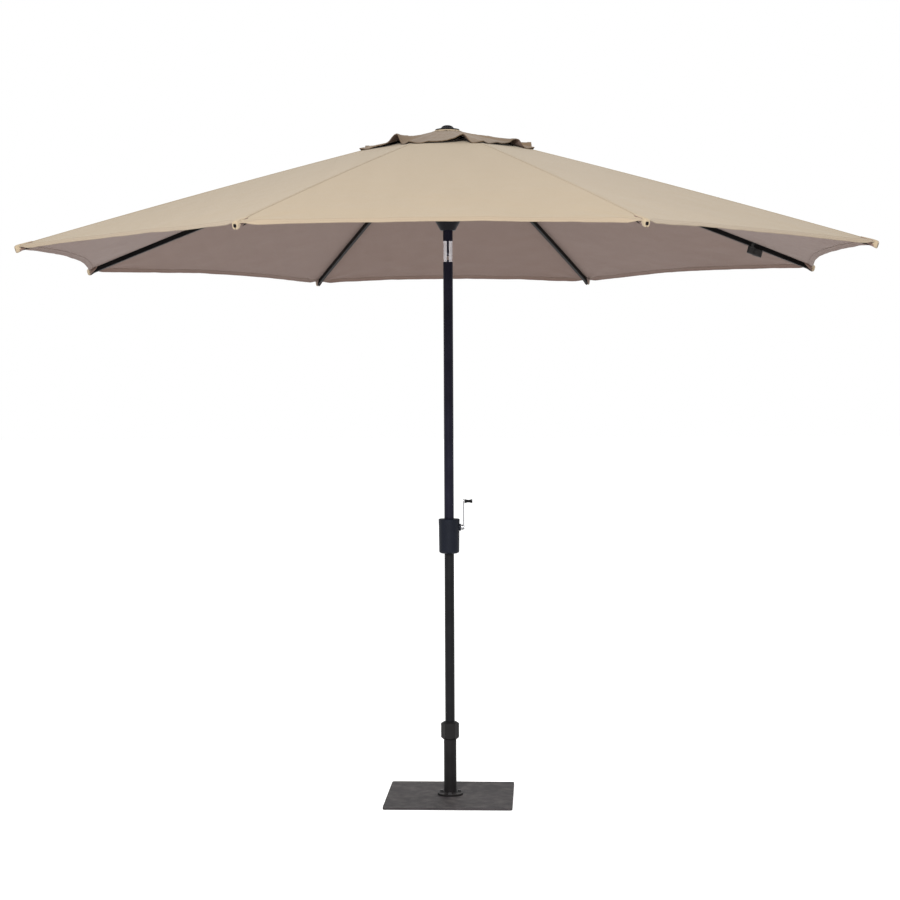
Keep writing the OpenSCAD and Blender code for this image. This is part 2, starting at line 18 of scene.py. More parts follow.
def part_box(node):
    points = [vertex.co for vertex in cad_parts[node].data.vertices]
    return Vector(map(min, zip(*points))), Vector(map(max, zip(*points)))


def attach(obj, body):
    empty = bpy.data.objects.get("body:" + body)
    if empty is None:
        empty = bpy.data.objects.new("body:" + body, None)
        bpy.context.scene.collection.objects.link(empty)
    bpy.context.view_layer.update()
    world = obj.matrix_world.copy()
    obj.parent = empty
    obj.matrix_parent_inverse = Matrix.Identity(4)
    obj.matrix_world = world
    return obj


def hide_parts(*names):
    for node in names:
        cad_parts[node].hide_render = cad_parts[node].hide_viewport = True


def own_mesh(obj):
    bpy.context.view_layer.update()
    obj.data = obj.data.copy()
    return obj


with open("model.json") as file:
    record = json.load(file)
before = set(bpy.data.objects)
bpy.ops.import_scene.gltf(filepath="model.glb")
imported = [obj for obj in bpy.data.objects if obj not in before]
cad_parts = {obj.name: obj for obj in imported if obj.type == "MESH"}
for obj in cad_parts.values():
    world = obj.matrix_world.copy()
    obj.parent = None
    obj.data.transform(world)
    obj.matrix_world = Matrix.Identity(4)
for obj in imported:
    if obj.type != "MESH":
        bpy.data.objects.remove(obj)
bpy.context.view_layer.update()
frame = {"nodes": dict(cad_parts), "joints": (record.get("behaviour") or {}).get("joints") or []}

# %% [markdown]
# Two small functions are needed from here on. One adds an object to the scene. The other works out a piece's
# modifiers and gives the result as a plain mesh.

# %% Objects and plain meshes
def link_object(name, data):
    made = bpy.data.objects.new(name, data)
    bpy.context.scene.collection.objects.link(made)
    return made


def plain_mesh(piece):
    graph = bpy.context.evaluated_depsgraph_get()
    return bpy.data.meshes.new_from_object(piece.evaluated_get(graph), depsgraph=graph)


print("object helpers ready")

# %% [markdown]
# The camera comes before the rest, because everything is seen through it. It stands about seven and a half
# metres in front of the pole at eye height, a hand's breadth right of the pole, and looks very slightly
# down. A long lens keeps the canopy's edges calm.

# %% Camera
SENSOR = 36.0
LENS = 75.4
CAMERA_AT = Vector((0.106, -7.440, 1.597))
CAMERA_YAW = math.radians(0.78)
CAMERA_PITCH = math.radians(-1.69)
CAMERA_ROLL = math.radians(-0.26)


def make_camera():
    data = bpy.data.cameras.new("camera")
    data.sensor_width = SENSOR
    data.lens = LENS
    data.clip_end = 200.0
    camera = link_object("camera", data)
    turn = Matrix.Rotation(CAMERA_YAW, 4, "Z") @ Matrix.Rotation(math.pi / 2 + CAMERA_PITCH, 4, "X")
    camera.matrix_world = Matrix.Translation(CAMERA_AT) @ turn @ Matrix.Rotation(CAMERA_ROLL, 4, "Z")
    bpy.context.scene.camera = camera
    return camera


camera = make_camera()
print("camera at", [round(v, 3) for v in camera.location], "lens", LENS)

# %% [markdown]
# Node trees are long to write by hand. Two small classes shorten them. A Wire holds one socket and turns
# ordinary Python arithmetic into Math nodes. A Bench holds one tree and adds any other node: its settings
# are set first, then the values or wires of its sockets.

# %% Wires and benches
class Wire:
    """One output socket. Arithmetic on it adds Math nodes to its tree."""

    def __init__(self, tree, socket):
        self.tree = tree
        self.socket = socket

    def calc(self, operation, *others, first=None):
        node = self.tree.nodes.new("ShaderNodeMath")
        node.operation = operation
        values = (self, *others) if first is None else (first, self, *others)
        for slot, value in zip(node.inputs, values):
            feed(self.tree, slot, value)
        return Wire(self.tree, node.outputs[0])

    def __add__(self, other):
        return self.calc("ADD", other)

    def __radd__(self, other):
        return self.calc("ADD", other)

    def __sub__(self, other):
        return self.calc("SUBTRACT", other)

    def __rsub__(self, other):
        return self.calc("SUBTRACT", first=other)

    def __mul__(self, other):
        return self.calc("MULTIPLY", other)

    def __rmul__(self, other):
        return self.calc("MULTIPLY", other)

    def __truediv__(self, other):
        return self.calc("DIVIDE", other)

    def __rtruediv__(self, other):
        return self.calc("DIVIDE", first=other)

    def __pow__(self, other):
        return self.calc("POWER", other)

    def __neg__(self):
        return self.calc("MULTIPLY", -1.0)

    def __abs__(self):
        return self.calc("ABSOLUTE")


def feed(tree, slot, value):
    """Links a wire into a socket, or sets the socket's own value."""
    if isinstance(value, Wire):
        tree.links.new(value.socket, slot)
    else:
        slot.default_value = value


class Bench:
    """A node tree, and one way of adding nodes to it."""

    def __init__(self, tree):
        self.tree = tree

    def add(self, kind, settings=None, inputs=None, out=0):
        node = self.tree.nodes.new(kind)
        for name, value in (settings or {}).items():
            setattr(node, name, value)
        for key, value in (inputs or {}).items():
            feed(self.tree, node.inputs[key], value)
        return Wire(self.tree, node.outputs[out])

    def split(self, vector):
        node = self.tree.nodes.new("ShaderNodeSeparateXYZ")
        feed(self.tree, node.inputs[0], vector)
        return [Wire(self.tree, socket) for socket in node.outputs]

    def join(self, x, y, z):
        return self.add("ShaderNodeCombineXYZ", inputs={0: x, 1: y, 2: z})


print("node helpers ready")

# %% [markdown]
# Every finish is procedural. Rigid parts read Object coordinates, which are the same as the model's own
# metres. Cloth, webbing and cord read their own UV map, which is laid out in metres too, so that the weave
# has its true size and follows the surface.

# %% Shader helpers
def new_material(name):
    material = bpy.data.materials.new(name)
    material.use_nodes = True
    material.node_tree.nodes.clear()
    return material, Bench(material.node_tree)


def place_of(bench, uv=False):
    return bench.add("ShaderNodeTexCoord", out=2 if uv else 3)


def noise(bench, place, scale, detail=3.0, rough=0.55):
    return bench.add("ShaderNodeTexNoise", inputs={"Vector": place, "Scale": scale, "Detail": detail,
                                                   "Roughness": rough})


def stretched(bench, place, scale):
    return bench.add("ShaderNodeMapping", inputs={"Vector": place, "Scale": scale})


def clamp01(wire):
    return wire.calc("MAXIMUM", 0.0).calc("MINIMUM", 1.0)


def band(wire, low, high):
    """0 below low, 1 above high, straight in between."""
    return clamp01((wire - low) / (high - low))


def mix_colour(bench, share, a, b):
    return bench.add("ShaderNodeMix", {"data_type": "RGBA"},
                     {0: share, 6: a if isinstance(a, Wire) else (*a, 1.0),
                      7: b if isinstance(b, Wire) else (*b, 1.0)}, out=2)


def bump(bench, height, strength, distance):
    return bench.add("ShaderNodeBump", inputs={"Strength": strength, "Distance": distance, "Height": height})


def finish_shader(material, bench, colour, rough, normal=None, **constants):
    tree = bench.tree
    shader = tree.nodes.new("ShaderNodeBsdfPrincipled")
    feed(tree, shader.inputs["Base Color"], colour)
    feed(tree, shader.inputs["Roughness"], rough)
    if normal is not None:
        feed(tree, shader.inputs["Normal"], normal)
    for name, value in constants.items():
        shader.inputs[name.replace("_", " ")].default_value = value
    output = tree.nodes.new("ShaderNodeOutputMaterial")
    tree.links.new(shader.outputs[0], output.inputs[0])
    return material


print("shader helpers ready")

# %% [markdown]
# The metal parts of the base and the pole are powder coated or painted. Powder coat has a fine orange-peel
# grain, about a millimetre across, and catches a little dust on its upper faces. Paint on the pole is
# smoother and has long faint streaks along the tube.

# %% Painted and powder-coated metal
DARK_GLOSS = 0.08
DUST_COLOUR = (0.30, 0.28, 0.26)


def coated_metal(name, colour, grain, gloss, dust=0.0, streak=0.0):
    material, bench = new_material(name)
    place = place_of(bench)
    fine = noise(bench, place, grain, 2.0)
    broad = noise(bench, place, 9.0, 4.0)
    long_marks = noise(bench, stretched(bench, place, (60.0, 60.0, 1.5)), 4.0, 3.0)
    up = bench.split(bench.add("ShaderNodeNewGeometry", out=1))[2]
    lit = tuple(min(1.0, c * 1.25 + 0.001) for c in colour)
    deep = tuple(c * 0.80 for c in colour)
    base = mix_colour(bench, band(broad, 0.35, 0.65), deep, lit)
    base = mix_colour(bench, band(long_marks, 0.50, 0.75) * streak, base, tuple(c * 1.9 for c in colour))
    dusty = band(up, 0.7, 1.0) * band(noise(bench, place, 28.0, 6.0), 0.42, 0.70) * dust
    base = mix_colour(bench, dusty, base, DUST_COLOUR)
    rough = gloss + 0.10 * (broad - 0.5) + 0.06 * (fine - 0.5) + 0.25 * dusty
    return finish_shader(material, bench, base, rough, bump(bench, fine, 0.18, 0.0006),
                         Metallic=0.0, Specular_IOR_Level=DARK_GLOSS)


plate_finish = coated_metal("plate_powder_coat", (0.0275, 0.0245, 0.0255), 1100.0, 0.58, dust=0.12)
stem_finish = coated_metal("stem_powder_coat", (0.0062, 0.0055, 0.0057), 1200.0, 0.46, dust=0.10)
pole_finish = coated_metal("pole_paint", (0.0052, 0.0048, 0.0105), 500.0, 0.34, streak=0.30)
lower_finish = coated_metal("lower_pole_paint", (0.0035, 0.0035, 0.0042), 500.0, 0.40, streak=0.25)
frame_finish = coated_metal("frame_paint", (0.0030, 0.0027, 0.0027), 700.0, 0.48, streak=0.20)
bolt_finish = coated_metal("bolt_black_oxide", (0.030, 0.029, 0.030), 2400.0, 0.34, dust=0.10)
print("coated metals:", plate_finish.name, stem_finish.name, pole_finish.name, frame_finish.name)

# %% [markdown]
# The moulded parts are nylon with a spark-eroded grain: tiny soft dimples, and a slightly brighter sheen
# where hands polish them. The grip is smoother. Natural nylon is left undyed for the drum, the bushes and
# the pulley, and rubber pads sit under the plate.

# %% Plastic and rubber
def moulded(name, colour, grain, gloss, depth=0.0004, flow=0.12):
    material, bench = new_material(name)
    place = place_of(bench)
    dimples = noise(bench, place, grain, 3.0, 0.6)
    patches = noise(bench, place, 22.0, 3.0)
    base = mix_colour(bench, band(patches, 0.35, 0.70), tuple(c * (1 - flow) for c in colour),
                      tuple(min(1.0, c * (1 + flow)) for c in colour))
    base = mix_colour(bench, band(dimples, 0.60, 0.80) * 0.35, base, tuple(min(1.0, c * 1.5) for c in colour))
    rough = gloss + 0.12 * (patches - 0.5) + 0.08 * (dimples - 0.5)
    return finish_shader(material, bench, base, rough, bump(bench, dimples, 0.25, depth),
                         Specular_IOR_Level=DARK_GLOSS)


housing_finish = moulded("housing_nylon", (0.0042, 0.0052, 0.0090), 900.0, 0.44)
collar_finish = moulded("collar_nylon", (0.0068, 0.0064, 0.0064), 800.0, 0.48)
hub_finish = moulded("hub_nylon", (0.0034, 0.0032, 0.0042), 900.0, 0.46)
grip_finish = moulded("grip_plastic", (0.0040, 0.0040, 0.0045), 500.0, 0.34, depth=0.0002)
nylon_finish = moulded("natural_nylon", (0.70, 0.68, 0.61), 700.0, 0.40, flow=0.05)
rubber_finish = moulded("foot_rubber", (0.020, 0.020, 0.020), 600.0, 0.80)
print("moulded finishes:", housing_finish.name, collar_finish.name, hub_finish.name, grip_finish.name)

# %% [markdown]
# Bright parts come in two kinds. The tilting knuckle and the crank arm are plated bright, with faint wipe
# marks, and the slot in the knuckle is painted dark, as painted shade in its recess. Pins, screws and the
# shaft are zinc plated: softer, slightly mottled and brushed.

# %% Bright metal
KNUCKLE_SLOT = 0.0042
SLOT_SHADE_COLOUR = (0.018, 0.018, 0.030)


def plated(name, colour, gloss, mottle, brushed, slot=0.0, metal=1.0):
    material, bench = new_material(name)
    place = place_of(bench)
    clouds = noise(bench, place, 60.0, 4.0)
    lines = noise(bench, stretched(bench, place, (400.0, 400.0, 12.0)), 3.0, 2.0)
    base = mix_colour(bench, band(clouds, 0.35, 0.70) * mottle, colour, tuple(c * 0.72 for c in colour))
    rough = gloss + 0.10 * (clouds - 0.45) * mottle + brushed * (lines - 0.4)
    # The dark band down the middle is painted shade in the knuckle's slot.
    if slot:
        off_middle = abs(bench.split(place)[0])
        inside = 1 - band(off_middle, slot, slot * 1.06)
        base = mix_colour(bench, inside, base, SLOT_SHADE_COLOUR)
        rough = rough + 0.15 * inside
    return finish_shader(material, bench, base, rough, bump(bench, lines, 0.10, 0.0002), Metallic=metal)


chrome_finish = plated("knuckle_chrome", (0.88, 0.89, 0.94), 0.22, 0.20, 0.06, slot=KNUCKLE_SLOT, metal=0.72)
arm_finish = plated("arm_chrome", (0.20, 0.20, 0.205), 0.30, 0.35, 0.08)
zinc_finish = plated("zinc_plate", (0.55, 0.55, 0.56), 0.36, 0.80, 0.20)
print("bright metals:", chrome_finish.name, arm_finish.name, zinc_finish.name)

# %% [markdown]
# The canopy cloth is a plain-weave polyester in beige. A yarn is about 0.6 mm wide, one over and one under.
# Two sine waves at right angles make that weave, and their product lifts each crossing. Wide soft noise
# gives the slight shade differences of dyed cloth. The underside is the same cloth, given a deeper, browner
# tone as painted shade for the shadow under the canopy.

# %% Cloth
YARN = 0.0012


def woven(name, colour, shade, yarn=YARN, rough=0.86, relief=0.5, mottle=0.10):
    material, bench = new_material(name)
    place = place_of(bench, uv=True)
    u, v, _ = bench.split(place)
    turn = 2 * math.pi / yarn
    warp = (u * turn).calc("SINE")
    weft = (v * turn).calc("SINE")
    crossing = (warp * weft) * 0.5 + 0.5
    clouds = noise(bench, place, 5.0, 5.0, 0.6)
    slubs = noise(bench, stretched(bench, place, (12.0, 900.0, 1.0)), 1.0, 3.0)
    base = mix_colour(bench, band(clouds, 0.30, 0.70) * mottle * 4, colour, shade)
    # The hollows between yarn crossings are painted darker: painted shade of the weave.
    base = mix_colour(bench, (1 - crossing) * 0.22, base, tuple(c * 0.72 for c in colour))
    base = mix_colour(bench, band(slubs, 0.55, 0.80) * 0.18, base, tuple(min(1.0, c * 1.14) for c in colour))
    return finish_shader(material, bench, base, rough + 0.08 * (clouds - 0.5),
                         bump(bench, crossing + 0.4 * slubs, relief, 0.0003),
                         Specular_IOR_Level=0.25, Sheen_Weight=0.12, Sheen_Roughness=0.5)


canopy_cloth = woven("canopy_cloth", (0.220, 0.173, 0.115), (0.198, 0.154, 0.099))
# The vent is the canopy's cloth; its darker, browner tone and strong dark blotches are painted shade of its
# folds.
vent_cloth_painted_shade = woven("vent_cloth_painted_shade", (0.142, 0.097, 0.056), (0.062, 0.039, 0.022), mottle=0.22)
# The underside's darker, browner tone is painted shade; the cloth is the same as on top.
underside_painted_shade = woven("canopy_cloth_underside_painted_shade", (0.116, 0.074, 0.059), (0.098, 0.062, 0.049))
hem_cloth = woven("canopy_hem_cloth", (0.212, 0.166, 0.115), (0.190, 0.147, 0.099))
thread_finish = woven("sewing_thread", (0.130, 0.100, 0.066), (0.110, 0.085, 0.055), yarn=0.0004)
webbing_finish = woven("strap_webbing", (0.016, 0.015, 0.015), (0.010, 0.010, 0.010), yarn=0.0022, relief=0.9)
cord_finish = woven("cord_braid", (0.62, 0.60, 0.55), (0.50, 0.48, 0.43), yarn=0.0016, relief=0.9)
print("cloths:", canopy_cloth.name, underside_painted_shade.name, hem_cloth.name)

# %% [markdown]
# Each rigid part gets one of those finishes. A table of name beginnings keeps this short.

# %% Finish the rigid parts
FINISHES = {
    "base_plate": plate_finish, "foot_pads": rubber_finish, "base_stem": stem_finish,
    "flange_bolts": bolt_finish, "pole_sleeve": collar_finish, "locking_collar": collar_finish,
    "pole_foot_plug": hub_finish, "lower_pole": lower_finish, "upper_pole": pole_finish, "mast": pole_finish,
    "pole_joiner": zinc_finish, "crank_housing": housing_finish, "housing_screws": zinc_finish,
    "shaft_bushes": nylon_finish, "crank_shaft": zinc_finish, "cord_drum": nylon_finish,
    "brake_spring": zinc_finish, "crank_arm": arm_finish, "crank_screw": zinc_finish,
    "grip_pin": zinc_finish, "crank_grip": grip_finish, "tilt_fork": chrome_finish,
    "tilt_pin": zinc_finish, "tilt_tongue": chrome_finish, "hub_pins": zinc_finish, "hub": hub_finish,
    "cord_pulley": nylon_finish, "pulley_pin": zinc_finish, "finial": hub_finish,
    "runner_pins": zinc_finish, "runner": hub_finish, "rib_tip": hub_finish, "rib": frame_finish,
    "strut": frame_finish,
}


def finish_of(node):
    for beginning, material in FINISHES.items():
        if node.startswith(beginning):
            return material
    return None


for node, part in frame["nodes"].items():
    material = finish_of(node)
    if material is not None:
        part.data.materials.clear()
        part.data.materials.append(material)
print("finished", sum(finish_of(n) is not None for n in frame["nodes"]), "of", len(frame["nodes"]), "parts")

# %% [markdown]
# The canopy hangs on eight ribs. Their pivots are in the record's joints. A rib is an arc through its pivot
# and its tip, bowed up a little in the middle, so the whole rib follows from those few sizes. Everything
# soft is drawn in one rib's own plane, with X along the rib, and is then turned to that rib's direction.

# %% Sizes of the frame
joints = {joint["name"]: joint for joint in frame["joints"]}
pivot = Vector(joints["canopy_fold"]["pos_m"])
PIVOT_R = pivot.xy.length
HUB_Z = pivot.z
RIBS = 8
FIRST_RIB = math.atan2(pivot.y, pivot.x)
RIB_STEP = 2 * math.pi / RIBS
RIB_H = 0.018
RIB_BOW = 0.008
TIP_R = 1.676
TIP_Z = 2.126
print("rib pivots at", round(PIVOT_R, 4), round(HUB_Z, 4), "rib tips at", TIP_R, TIP_Z)

# %% [markdown]
# The canopy's shape follows a rule, so Geometry Nodes draw it. One tree makes any patch of the cloth in
# one rib's own plane: a whole sector, a hem or a seam. "Along" runs from the hole in the middle out to the
# hem and "across" from one mid-gore line over the rib to the next. The hem curves inwards between the ribs,
# the cloth dips a little there, and small pulls spread from each tip. The neighbours share every term of
# the rule, so their edges meet exactly. The last two and a half centimetres turn down, as a hem does.

# %% The cloth's rule
HOLE_R = 0.150
HEM_CURVE = 0.042
DIP = 0.010
CLOTH_T = 0.0011
CLOTH_GAP = 0.0031
chord = math.hypot(TIP_R - PIVOT_R, HUB_Z - TIP_Z)
fall = math.atan2(HUB_Z - TIP_Z, TIP_R - PIVOT_R)
ARC_R = (chord ** 2 / 4 + RIB_BOW ** 2) / (2 * RIB_BOW)
ARC_X = (PIVOT_R + TIP_R) / 2 - (ARC_R - RIB_BOW) * math.sin(fall)
ARC_Z = (HUB_Z + TIP_Z) / 2 - (ARC_R - RIB_BOW) * math.cos(fall)
OVER_RIB = RIB_H / 2 / math.cos(fall) + CLOTH_GAP
HEM_R = TIP_R + 0.001
EDGE_W = 0.024
EDGE_DROP = 0.007
BROAD_WAVE = 0.0125
CLOSE_WAVE = 0.0032
PULL_H = 0.0026
PULL_COUNT = 17.0
PULL_REACH = 0.110
PULL_FROM = HEM_R + 0.010
GORE_LEN = HEM_R - HOLE_R
SIDE = math.sin(RIB_STEP) / 2
BACK = (1 - math.cos(RIB_STEP)) / 2


def rib_height(r):
    """Height of a rib's centre line at a distance from the pole."""
    return ARC_Z + math.sqrt(ARC_R ** 2 - (r - ARC_X) ** 2)


def azimuth_of(rib):
    return FIRST_RIB + rib * RIB_STEP


def new_tree(name, numbers):
    """A Geometry Nodes tree with one mesh output and named number inputs."""
    tree = bpy.data.node_groups.new(name, "GeometryNodeTree")
    tree.interface.new_socket("Geometry", in_out="INPUT", socket_type="NodeSocketGeometry")
    for label in numbers:
        kind = "NodeSocketInt" if label.startswith("Count") else "NodeSocketFloat"
        tree.interface.new_socket(label, in_out="INPUT", socket_type=kind)
    tree.interface.new_socket("Material", in_out="INPUT", socket_type="NodeSocketMaterial")
    tree.interface.new_socket("Geometry", in_out="OUTPUT", socket_type="NodeSocketGeometry")
    entry = tree.nodes.new("NodeGroupInput")
    wires = {socket.name: Wire(tree, socket) for socket in entry.outputs if socket.name}
    return tree, Bench(tree), wires


def end_tree(bench, wires, geometry):
    real = bench.add("GeometryNodeRealizeInstances", inputs={"Geometry": geometry})
    dressed = bench.add("GeometryNodeSetMaterial", inputs={"Geometry": real, "Material": wires["Material"]})
    output = bench.tree.nodes.new("NodeGroupOutput")
    feed(bench.tree, output.inputs[0], dressed)


def run_tree(tree, name, values, source=None):
    """Runs a tree on a carrier mesh with the given inputs and returns its result as a plain mesh object."""
    carrier = link_object(name, source or bpy.data.meshes.new(name + "_seed"))
    modifier = carrier.modifiers.new("made", "NODES")
    modifier.node_group = tree
    for item in tree.interface.items_tree:
        if item.in_out == "INPUT" and item.name in values:
            modifier[item.identifier] = values[item.name]
    mesh = plain_mesh(carrier)
    bpy.data.objects.remove(carrier)
    return link_object(name, mesh)


def patch_grid(bench, given):
    """A flat grid, with each point's share of its length from 0 to 1 and of its width from -1 to 1."""
    grid = bench.add("GeometryNodeMeshGrid", inputs={
        "Size X": 1.0, "Size Y": 2.0, "Vertices X": given["Count Along"],
        "Vertices Y": given["Count Across"]})
    long_share, wide_share, _ = bench.split(bench.add("GeometryNodeInputPosition"))
    return grid, long_share + 0.5, wide_share


def gore_place(start, end, along, across):
    """Where a point of a gore lies: how slack the cloth is there, its distance out, and its X and Y."""
    t = 1 - abs(across)
    slack = 1 - t * t
    r = start + (end * (1 - HEM_CURVE * slack) - start) * along
    return slack, r, r * (1 - abs(across) * BACK), r * across * SIDE


def to_world(x, y, turn):
    """A place in the rib's own plane, turned to the rib's direction."""
    world_x = x * turn.calc("COSINE") - y * turn.calc("SINE")
    world_y = x * turn.calc("SINE") + y * turn.calc("COSINE")
    return world_x, world_y


def cloth_level(r):
    """Height of the cloth's lower face over a rib."""
    return ARC_Z + (ARC_R ** 2 - (r - ARC_X) ** 2).calc("SQRT") + OVER_RIB


def lay_patch(bench, given, grid, world, flat):
    """Moves the grid's points to their places, maps them in metres and ends the tree."""
    moved = bench.add("GeometryNodeSetPosition", inputs={"Geometry": grid, "Position": bench.join(*world)})
    mapped = bench.add("GeometryNodeStoreNamedAttribute", {"data_type": "FLOAT2", "domain": "CORNER"},
                       {"Geometry": moved, "Name": "UVMap", "Value": bench.join(*flat, 0.0)})
    end_tree(bench, given, bench.add("GeometryNodeSetShadeSmooth", inputs={"Geometry": mapped}))


print("rib arc radius", round(ARC_R, 2), "fall", round(math.degrees(fall), 2), "degrees")

# %% The tree for canopy cloth
CLOTH_INPUTS = ["Azimuth", "Along Start", "Along End", "Half Width", "Lift", "Count Along", "Count Across"]


def cloth_tree():
    tree, bench, given = new_tree("canopy_cloth_patch", CLOTH_INPUTS)
    grid, share, wide_share = patch_grid(bench, given)
    along = given["Along Start"] + share * (1.6 - 0.6 * share) * (given["Along End"] - given["Along Start"])
    straight = HOLE_R + GORE_LEN * along
    narrow = given["Half Width"].calc("GREATER_THAN", 0.0)
    strip = wide_share * given["Half Width"] / (SIDE * straight)
    across = wide_share * (1 - narrow) + strip * narrow
    slack, r, x, y = gore_place(HOLE_R, HEM_R, along, across)
    world_x, world_y = to_world(x, y, given["Azimuth"])
    flat_place = bench.join(world_x, world_y, 0.37)
    broad = noise(bench, flat_place, 3.2, 2.0) - 0.5
    close = noise(bench, flat_place, 14.0, 2.0) - 0.5
    from_tip = ((HEM_R - x) ** 2 + y ** 2).calc("SQRT")
    aim = y.calc("ARCTAN2", PULL_FROM - x)
    pulls = (aim * PULL_COUNT).calc("COSINE") * (from_tip / -PULL_REACH).calc("EXPONENT")
    ease = clamp01(slack * 6)
    wave = (BROAD_WAVE * broad + CLOSE_WAVE * close) * ease * along
    crease = PULL_H * pulls * clamp01(slack * 14)
    edge = band((along - 1) * GORE_LEN, -EDGE_W, 0.0)
    turned_down = EDGE_DROP * edge * edge * ease
    dip = DIP * slack * along * along
    z = cloth_level(r) - dip + wave + crease - turned_down + given["Lift"]
    lay_patch(bench, given, grid, (world_x, world_y, z), (x, y))
    return tree


cloth = cloth_tree()
# Edges meeting at more than this angle stay sharp when a sheet is thickened
BEND = math.radians(50)


def cloth_patch(name, rib, material, values):
    defaults = {"Azimuth": azimuth_of(rib), "Along Start": 0.0, "Along End": 1.0, "Half Width": 0.0,
                "Lift": 0.0, "Count Along": 90, "Count Across": 81, "Material": material}
    return run_tree(cloth, name, {**defaults, **values})


def thicken(piece, thickness, offset=-1.0, under=None):
    """Gives a sheet its thickness at once, with closed edges; under is the material of its lower face."""
    if under is not None:
        piece.data.materials.append(under)
    solid = piece.modifiers.new("thickness", "SOLIDIFY")
    solid.thickness = thickness
    solid.offset = offset
    if under is not None:
        solid.material_offset = 1
    mesh = plain_mesh(piece)
    piece.modifiers.remove(solid)
    piece.data = mesh
    mesh.set_sharp_from_angle(angle=BEND)
    return piece


def normals_up(piece):
    """Turns every face of an open sheet to face upwards."""
    mesh = bmesh.new()
    mesh.from_mesh(piece.data)
    down = [face for face in mesh.faces if face.normal.z < 0]
    bmesh.ops.reverse_faces(mesh, faces=down)
    mesh.to_mesh(piece.data)
    mesh.free()
    return piece


def soft_on_rib(piece, rib):
    """The piece rides its rib, with a mesh of its own."""
    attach(piece, f"rib_{rib + 1}")
    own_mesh(piece)
    return piece


print("cloth tree has", len(cloth.nodes), "nodes")

# %% [markdown]
# The canopy is cut here into eight sectors, one on each rib, because each rib carries its own cloth down
# when the umbrella closes. A sector reaches half a gore to each side.

# %% Canopy sectors
for rib in range(RIBS):
    sector = normals_up(cloth_patch(f"canopy_sector_{rib + 1}", rib, canopy_cloth, {}))
    # The sector's lower face takes the underside's painted shade.
    thicken(sector, CLOTH_T, under=underside_painted_shade)
    soft_on_rib(sector, rib)
    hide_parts("canopy")

# %% [markdown]
# The hem is the cloth's edge turned under twice, so it is a band three cloths thick. A flat-felled seam
# runs over each rib. Both are patches of the same rule, a little proud of the cloth. The seam keeps its
# width when the canopy closes, because the rib is under it.

# %% Hems and seams
HEM_W = 0.019
HEM_T = 0.0033
HEM_OUT = 0.0012
HEM_LIFT = 0.0011
HEM_POINTS = 161
SEAM_HALF = 0.0075
SEAM_T = 0.0016
SEAM_LIFT = 0.0010
for rib in range(RIBS):
    hem = normals_up(cloth_patch(f"canopy_hem_{rib + 1}", rib, hem_cloth, {
        "Along Start": 1 - HEM_W / GORE_LEN, "Along End": 1 + HEM_OUT / GORE_LEN, "Lift": HEM_LIFT,
        "Count Along": 5, "Count Across": HEM_POINTS}))
    thicken(hem, HEM_T, under=underside_painted_shade)
    soft_on_rib(hem, rib)
    seam = normals_up(cloth_patch(f"canopy_seam_{rib + 1}", rib, canopy_cloth, {
        "Along Start": 0.02, "Along End": 0.995, "Half Width": SEAM_HALF, "Lift": SEAM_LIFT,
        "Count Along": 90, "Count Across": 7}))
    thicken(seam, SEAM_T)
    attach(seam, f"rib_{rib + 1}")

# %% [markdown]
# The vent cap is a second, smaller canopy over the hole. Its hem touches the main cloth beside each rib and
# flies up between, in one uneven arch for each gore, so that wind can blow through. A Geometry Nodes tree
# draws it too: it keeps clear of the main cloth everywhere, rises to the crown and to the arched hem, and is
# crumpled by smooth noise in between.

# %% The tree for vent cloth
VENT_R = 0.365
VENT_START = 0.0515
VENT_RISE = 0.0018
VENT_REST = 0.0034
VENT_CLEAR = 0.0032
VENT_LEN = VENT_R - VENT_START
VENT_POINTS = 97
VENT_HEM_W = 0.016
VENT_HEM_T = 0.0029
VENT_HEM_LIFT = 0.0009
ARCH_WIDTH = 0.34
RIB_PLEAT = 0.0075
PLEATS = 26
VENT_INPUTS = ["Azimuth", "Along Start", "Along End", "Lift", "Plus Place", "Plus Height", "Minus Place",
               "Minus Height", "Count Along", "Count Across"]
# Where the hem's arch peaks in each gore, from -1 at one rib to 1 at the next, and how high
ARCHES = [(0.30, 0.027), (-0.35, 0.031), (0.45, 0.026), (-0.40, 0.031), (0.46, 0.036), (0.54, 0.027),
          (0.42, 0.021), (-0.45, 0.027)]


